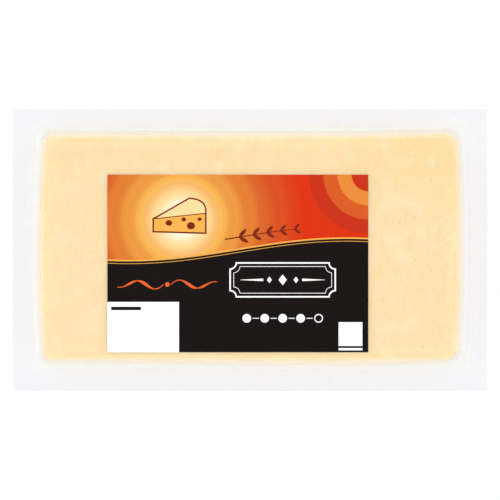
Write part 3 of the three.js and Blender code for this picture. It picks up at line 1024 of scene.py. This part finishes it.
def make_label():
    flat = bmesh.new()
    add_field(flat, rectangle(-HALF_U, HALF_U, -HALF_V, HALF_V))
    paper = ink("white", "label_paper")
    sheet = plate("label_sheet", flat, SHEET_LEVEL, SHEET_THICKNESS, paper)
    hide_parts("label")

    right, high = HALF_U - PRINT_TRIM, HALF_V - PRINT_TRIM
    printed("black_field", ink("black"), 0, [rectangle(-right, right, -high, high)])
    edge = [(u, wave(u)) for u in np.linspace(-right, right, 60)]
    printed("warm_field", warm_material(), 1, [edge + [(right, high), (-right, high)]])
    for number, (radius, colour) in enumerate(zip(CORNER_DISCS, DISC_COLOURS), 1):
        printed(f"corner_disc_{number}", ink(colour), 1 + number, [corner_disc(radius)])
    rules = [line([(u, v - under) for u, v in edge], width) for under, width in WAVE_RULES]
    printed("wave_rules", ink("gold"), 2, lines=rules)
    print_wedge()
    print_sprig()

    panel_right, panel_high = -HALF_U + PANEL_LENGTH, -HALF_V + PANEL_WIDTH
    square_right, square_high = SQUARE_LEFT + SQUARE_SIDE, SQUARE_LOW + SQUARE_SIDE
    panels = [
        rectangle(-right, panel_right, -high, panel_high),
        rectangle(SQUARE_LEFT, square_right, SQUARE_LOW, square_high),
        rectangle(SQUARE_LEFT, square_right, *(SQUARE_LOW + off for off in SQUARE_BAR_SIDES)),
    ]
    printed("plain_panels", ink("white"), 1, panels)
    bar = rectangle(*PANEL_BAR_ENDS, *(panel_high + off for off in PANEL_BAR_SIDES))
    printed("panel_bar", ink("black"), 2, [bar])
    print_plaque()
    print_scroll()
    print_marks()


@cache
def ink(colour, name=None):
    """Printed ink of one colour, a little uneven, with the paper's tooth in its gloss."""
    shader = Shader(name or f"{colour}_ink")
    colour = COLOURS[colour]
    density = shader.noise(1.3, 1.3, 1.3, detail=4, roughness=0.7)
    lighter = tuple(min(channel * 1.06 + 0.001, 1) for channel in colour[:3]) + (1,)
    return printed_surface(shader, shader.blend(shader.spread(density, 0.35, 0.7), colour, lighter))


def printed_surface(shader, colour):
    tooth = shader.noise(0.25, 0.25, 0.25)
    surface = shader.node(
        "BsdfPrincipled",
        ("Base Color", colour),
        ("Roughness", shader.spread(tooth, 0.3, 0.7, *INK_ROUGHNESS)),
        ("Normal", shader.bump(tooth, 0.01 * MM, 0.4)),
        ("Specular IOR Level", 0.15),
    )
    return shader.finish(surface)


def warm_material():
    """A cream glow behind the wedge that turns through gold and orange to red, in soft bands."""
    shader = Shader("warm_inks")
    maths = shader.maths
    x, y, _ = shader.axes()
    u = maths("SUBTRACT", x, LABEL_CENTRE.x + GLOW_U)
    v = maths("SUBTRACT", y, LABEL_CENTRE.y + GLOW_V)
    squares = maths("ADD", maths("MULTIPLY", u, u), maths("MULTIPLY", v, v))
    far = maths("DIVIDE", maths("SQRT", squares), GLOW_REACH)
    wobble = maths("SINE", maths("MULTIPLY", far, 2 * math.pi * BAND_COUNT))
    bands = shader.spread(wobble, -0.25, 0.25, 0, 0.14)
    share = maths("MULTIPLY", bands, shader.spread(far, 0.15, 0.35))
    glow = shader.ramp(far, [(at, COLOURS[name]) for at, name in GLOW.items()])
    return printed_surface(shader, shader.blend(share, glow, COLOURS["deep_red"]))


def make_floor():
    """A pale light table that glows a little itself."""
    reach = 60.0
    corners = [(x, y, 0) for x, y in rectangle(-reach, reach, -reach, reach)]
    mesh = bpy.data.meshes.new("light_table")
    mesh.from_pydata(corners, [], [(0, 1, 2, 3)])
    floor = linked("light_table", mesh)
    shader = Shader("light_table")
    matt = shader.node("BsdfDiffuse", ("Color", (0.25, 0.25, 0.25, 1))).outputs[0]
    glow = shader.node("Emission", ("Color", (1, 1, 1, 1)), ("Strength", 0.79)).outputs[0]
    both = shader.node("AddShader", (0, matt), (1, glow))
    mesh.materials.append(shader.finish(both))


def make_lights():
    """A white tent, dimmer overhead, with four broad and gentle lamps."""
    world = bpy.data.worlds.new("studio")
    world.use_nodes = True
    tree = world.node_tree
    apart = tree.nodes.new("ShaderNodeSeparateXYZ")
    tree.links.new(tree.nodes.new("ShaderNodeTexCoord").outputs["Generated"], apart.inputs[0])
    height = tree.nodes.new("ShaderNodeMapRange")
    height.interpolation_type = "SMOOTHSTEP"
    ends = {"From Min": 0.55, "From Max": 0.95, "To Min": 1.15, "To Max": 0.45}
    for socket, value in ends.items():
        height.inputs[socket].default_value = value
    tree.links.new(apart.outputs["Z"], height.inputs["Value"])
    tree.links.new(height.outputs[0], tree.nodes["Background"].inputs["Strength"])
    tree.nodes["Background"].inputs["Color"].default_value = (1, 1, 1, 1)
    bpy.context.scene.world = world

    for name, place, power in (
        ("lamp_left", (-1.0, 0.1, 0.9), 3.6),
        ("lamp_right", (1.0, 0.1, 0.9), 3.6),
        ("lamp_far", (0.0, 1.1, 1.0), 3.1),
        ("lamp_near", (0.0, -1.1, 0.9), 3.1),
    ):
        lamp = bpy.data.lights.new(name, "AREA")
        lamp.energy = power
        lamp.size = 1.8
        made = linked(name, lamp)
        made.location = place
        made.rotation_euler = (-Vector(place)).to_track_quat("-Z", "Y").to_euler()


def make_camera():
    """Straight above the pack. The photograph is 500 pixels wide, and the pack 475.6 of them."""
    photo_width, pack_width = 500, 475.6
    distance = 5.0
    lens = bpy.data.cameras.new("camera")
    lens.sensor_width = 36
    lens.lens = lens.sensor_width * distance / (PACK_LENGTH * photo_width / pack_width)
    lens.clip_start, lens.clip_end = 0.01, 100
    camera = linked("camera", lens)
    camera.location = (0, 0, FLANGE_HEIGHT + distance)
    bpy.context.scene.camera = camera


bpy.context.scene.view_settings.view_transform = "Standard"
make_floor()
make_lights()
make_camera()
rim = Rim(STEPS_ALONG, STEPS_ACROSS, ARC_STEPS)
cheese = make_cheese(rim)
cheese.data.materials.append(cheese_material())
film = make_film(rim)
film.data.materials.append(film_material())
for piece in (cheese, film):
    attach(piece, "root")
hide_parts("sealed_pack")
make_label()
